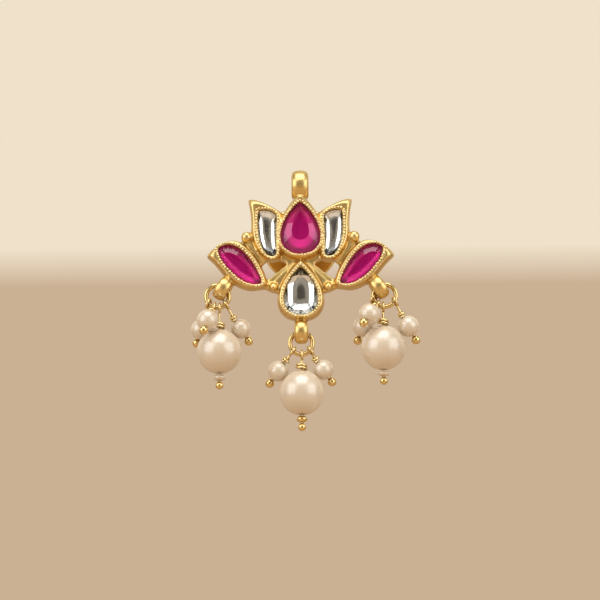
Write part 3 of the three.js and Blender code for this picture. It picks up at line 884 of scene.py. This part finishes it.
class EARRING_OT_head_pins(bpy.types.Operator):
    """Bends the head pins: a ball, a stem, an eye over the ring and a wrap on the pearl"""

    bl_idname = "earring.head_pins"
    bl_label = "Head pins"

    def execute(self, context):
        for name, _, _, bead, pins in drop_places():
            for node, _, held, pearl_at, radius in pins:
                if node == f"{name}_pin":
                    bead_at = pearl_at + MAIN_PEARL + BEAD_GAP + bead[1]
                    ball = (bead_at + bead[1] + MAIN_BALL + BEAD_GAP / 2, MAIN_BALL)
                    wrap = (MAIN_WRAP, -pearl_at + MAIN_PEARL + 0.2)
                else:
                    ball = (pearl_at + radius + SMALL_BALL + BEAD_GAP / 2, SMALL_BALL)
                    wrap = (SMALL_WRAP, -pearl_at + radius + 0.16)
                pin = self.pin(f"{node}_bent", *ball, *wrap)
                only(pin)
                pin.matrix_world = held
                bpy.ops.object.transform_apply(location=True, rotation=True, scale=True)
                finished(pin, f"{name}_drop", [gold_plate("drawn")], [node], 50)
        return {"FINISHED"}

    def on_eye(self, degrees):
        turn = math.radians(degrees)
        return Vector((0, EYE_RADIUS * math.sin(turn), -EYE_RADIUS * math.cos(turn)))

    def pin(self, name, length, ball_radius, wrap, wrap_end):
        wire = bpy.context.scene.earring_drops.pin_wire / MM
        stem = [Vector((0, 0, -length + 0.1))] + [Vector((0, 0, z)) for z in STEM_TOP]
        bend = [Vector((0, y, z)) for y, z in STEM_BEND] + [self.on_eye(EYE_START)]
        for i in range(1, 7):
            stem.append(sum((weight * point for weight, point in zip(curve_weights(i / 7), bend)), Vector()))
        for i in range(37):
            stem.append(self.on_eye(EYE_START + EYE_TURN * i / 36) + Vector((EYE_SHIFT * i / 36, 0, 0)))
        coil = []
        top = wrap_end + wrap["pitch"] * wrap["turns"]
        steps = round(wrap["turns"] * 24)
        for i in range(steps + 1):
            turn = wrap["turns"] * i / steps
            out = wire * 0.6 + (wrap["radius"] - wire * 0.6) * min(1, turn * 4)
            angle = 2 * math.pi * turn
            coil.append(Vector((out * math.cos(angle), out * math.sin(angle), top - wrap["pitch"] * turn)))
        deselect()
        bpy.ops.mesh.primitive_uv_sphere_add(segments=32, ring_count=20, radius=ball_radius)
        head = bpy.context.object
        bpy.ops.object.mode_set(mode="EDIT")
        bpy.ops.mesh.select_all(action="DESELECT")
        mesh = bmesh.from_edit_mesh(head.data)
        for face in mesh.faces:
            face.select_set(face.calc_center_median().z > ball_radius * 0.95)
        bmesh.update_edit_mesh(head.data)
        bpy.ops.mesh.extrude_region_move(TRANSFORM_OT_translate={"value": (0, 0, 0.05)})
        bpy.ops.mesh.select_all(action="SELECT")
        bpy.ops.transform.translate(value=(0, 0, -length))
        bpy.ops.object.mode_set(mode="OBJECT")
        return joined(name, [wire_along("stem", stem, wire), wire_along("coil", coil, wire), head])


class EARRING_OT_pearls(bpy.types.Operator):
    """Drills the pearls and the beads under them"""

    bl_idname = "earring.pearls"
    bl_label = "Pearls and end beads"

    def execute(self, context):
        large = self.drilled("large_pearl", 64, 0.26 / MAIN_PEARL)
        small = self.drilled("small_pearl", 48, 0.19)
        flat = self.drilled("end_bead", 40, 0.3)
        for name, _, _, bead, pins in drop_places():
            for _, node, held, pearl_at, radius in pins:
                model = large if node == f"{name}_pearl" else small
                matrix = held @ Matrix.Translation((0, 0, -pearl_at)) @ Matrix.Scale(radius, 4)
                pearl = copy_of(model, f"{node}_drilled", matrix)
                finished(pearl, f"{name}_drop", [pearl_lacquer()], [node], 40)
            _, _, held, pearl_at, _ = pins[0]
            radius, half, finish = bead
            under = Matrix.Translation((0, 0, -pearl_at - MAIN_PEARL - BEAD_GAP - half))
            matrix = held @ under @ Matrix.Diagonal((radius, radius, half, 1))
            end = copy_of(flat, f"{name}_end_bead_drilled", matrix)
            material = gold_plate("drawn") if finish == "gold" else pearl_lacquer()
            finished(end, f"{name}_drop", [material], [f"{name}_end_bead"], 40)
        for model in (large, small, flat):
            bpy.data.objects.remove(model)
        return {"FINISHED"}

    def drilled(self, name, segments, hole):
        """A ball of radius 1 with a hole along Z"""
        deselect()
        bpy.ops.mesh.primitive_uv_sphere_add(segments=segments, ring_count=segments * 2 // 3, radius=1)
        ball = bpy.context.object
        ball.name = name
        high = math.sqrt(1 - hole * hole)
        bpy.ops.object.mode_set(mode="EDIT")
        for side in (-1, 1):
            bpy.ops.mesh.select_all(action="SELECT")
            bpy.ops.mesh.bisect(
                plane_co=(0, 0, side * high), plane_no=(0, 0, side), clear_outer=True, threshold=1e-5)
        bpy.ops.mesh.select_all(action="DESELECT")
        bpy.ops.mesh.select_non_manifold()
        bpy.ops.mesh.bridge_edge_loops()
        bpy.ops.mesh.select_all(action="SELECT")
        bpy.ops.mesh.normals_make_consistent(inside=False)
        bpy.ops.object.mode_set(mode="OBJECT")
        return ball


class EARRING_OT_stage(bpy.types.Operator):
    """Sets the camera, the softboxes, the floor and the backdrop"""

    bl_idname = "earring.stage"
    bl_label = "Stage"

    def execute(self, context):
        settings = context.scene.earring_stage
        pitch, away = settings.pitch, settings.distance
        forwards = Vector((0, math.cos(pitch), math.sin(pitch)))
        up = Vector((0, -math.sin(pitch), math.cos(pitch)))
        aim = Vector((AIM[0], 0, 0)) - up * AIM[1]
        deselect()
        bpy.ops.object.camera_add(location=aim - forwards * away)
        camera = context.object
        turn = Matrix.Rotation(math.pi / 2 + pitch, 3, "X") @ Matrix.Rotation(settings.roll, 3, "Z")
        camera.rotation_euler = turn.to_euler()
        camera.data.lens = settings.lens
        camera.data.sensor_width = 36
        camera.data.clip_start = 0.01
        camera.data.clip_end = 10
        context.scene.camera = camera
        context.scene.view_settings.view_transform = "Standard"
        for name, way, size, power in SOFTBOXES:
            deselect()
            way = Vector(way).normalized()
            bpy.ops.object.light_add(type="AREA", location=way * SOFTBOX_DISTANCE + LIT_PLACE)
            light = context.object
            light.name = name
            light.rotation_euler = way.to_track_quat("Z", "Y").to_euler()
            light.data.size = size
            light.data.energy = power
            light.visible_camera = False
        for flag in FLAGS:
            self.flag(*flag)
        self.backdrop(settings)
        self.floor(settings)
        world = bpy.data.worlds.new("studio_air")
        context.scene.world = world
        world.use_nodes = True
        air = world.node_tree.nodes["Background"]
        air.inputs["Color"].default_value = (*settings.air, 1)
        air.inputs["Strength"].default_value = 0.34
        return {"FINISHED"}

    def flag(self, name, place, width, height, colour):
        """A felt card in front, out of the camera's sight, that the stones and pearls mirror"""
        deselect()
        bpy.ops.mesh.primitive_plane_add(size=1, location=place, rotation=(math.pi / 2, 0, 0))
        card = bpy.context.object
        card.name = name
        card.scale = (width, height, 1)
        bpy.ops.object.transform_apply(location=True, rotation=True, scale=True)
        material, _, shader = new_material(f"{name}_felt")
        shader.inputs["Base Color"].default_value = (*linear(colour), 1)
        shader.inputs["Roughness"].default_value = 0.95
        card.data.materials.append(material)
        card.visible_camera = False

    def backdrop(self, settings):
        deselect()
        bpy.ops.mesh.primitive_plane_add(size=1, location=(0, 0.3, 0.41), rotation=(math.pi / 2, 0, 0))
        wall = bpy.context.object
        wall.name = "backdrop"
        wall.scale = (3, 1, 1)
        bpy.ops.object.transform_apply(location=True, rotation=True, scale=True)
        material, tree, shader = new_material("backdrop_paper")
        place = add_node(tree, "ShaderNodeTexCoord").outputs["Object"]
        height = add_node(tree, "ShaderNodeSeparateXYZ", {"Vector": place}).outputs["Z"]
        # The sweep ends softly, about 53 mm over the part's origin
        share = add_node(tree, "ShaderNodeMapRange", {"Value": height, "From Min": 0.048, "From Max": 0.058})
        tone = add_node(tree, "ShaderNodeValToRGB", {"Fac": share.outputs["Result"]})
        tone.color_ramp.elements[0].color = (*settings.sweep, 1)
        tone.color_ramp.elements[1].color = (*settings.backdrop, 1)
        shader.inputs["Base Color"].default_value = (0, 0, 0, 1)
        shader.inputs["Roughness"].default_value = 1.0
        tree.links.new(tone.outputs["Color"], shader.inputs["Emission Color"])
        shader.inputs["Emission Strength"].default_value = 1.0
        wall.data.materials.append(material)

    def floor(self, settings):
        deselect()
        bpy.ops.mesh.primitive_plane_add(size=6, location=(0, 0, -0.09))
        floor = bpy.context.object
        floor.name = "floor"
        bpy.ops.object.transform_apply(location=True)
        material, tree, shader = new_material("floor_paper")
        place = add_node(tree, "ShaderNodeTexCoord").outputs["Object"]
        # Paper fibre, drawn about 3 mm wide so that it shows
        fibre = add_node(tree, "ShaderNodeTexNoise", {"Vector": place, "Scale": 300.0, "Detail": 4.0})
        tone = add_node(tree, "ShaderNodeValToRGB", {"Fac": fibre.outputs["Fac"]})
        tone.color_ramp.elements[0].color = (*[c * 0.95 for c in settings.sweep], 1)
        tone.color_ramp.elements[1].color = (*settings.sweep, 1)
        tree.links.new(tone.outputs["Color"], shader.inputs["Base Color"])
        shader.inputs["Roughness"].default_value = 0.8
        floor.data.materials.append(material)


STEPS = (
    EARRING_OT_stage, EARRING_OT_lotus_casting, EARRING_OT_stones, EARRING_OT_ear_nut,
    EARRING_OT_jump_rings, EARRING_OT_head_pins, EARRING_OT_pearls,
)


class EARRING_PT_sidebar(bpy.types.Panel):
    """Lists the steps that dress the earring"""

    bl_idname = "EARRING_PT_sidebar"
    bl_label = "Lotus drop earring"
    bl_space_type = "VIEW_3D"
    bl_region_type = "UI"
    bl_category = "Earring"

    def draw(self, context):
        for step in STEPS:
            self.layout.operator(step.bl_idname)


SETTINGS = {
    "earring_casting": CastingSettings, "earring_stones": StoneSettings,
    "earring_drops": DropSettings, "earring_stage": StageSettings,
}


def register():
    for group in (*SETTINGS.values(), *STEPS, EARRING_PT_sidebar):
        bpy.utils.register_class(group)
    for name, group in SETTINGS.items():
        setattr(bpy.types.Scene, name, PointerProperty(type=group))


def unregister():
    for name in SETTINGS:
        delattr(bpy.types.Scene, name)
    for group in reversed((*SETTINGS.values(), *STEPS, EARRING_PT_sidebar)):
        bpy.utils.unregister_class(group)


def main():
    register()
    bpy.ops.earring.stage()
    bpy.ops.earring.lotus_casting()
    bpy.ops.earring.stones()
    bpy.ops.earring.ear_nut()
    bpy.ops.earring.jump_rings()
    bpy.ops.earring.head_pins()
    bpy.ops.earring.pearls()
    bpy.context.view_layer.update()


if __name__ == "__main__":
    main()
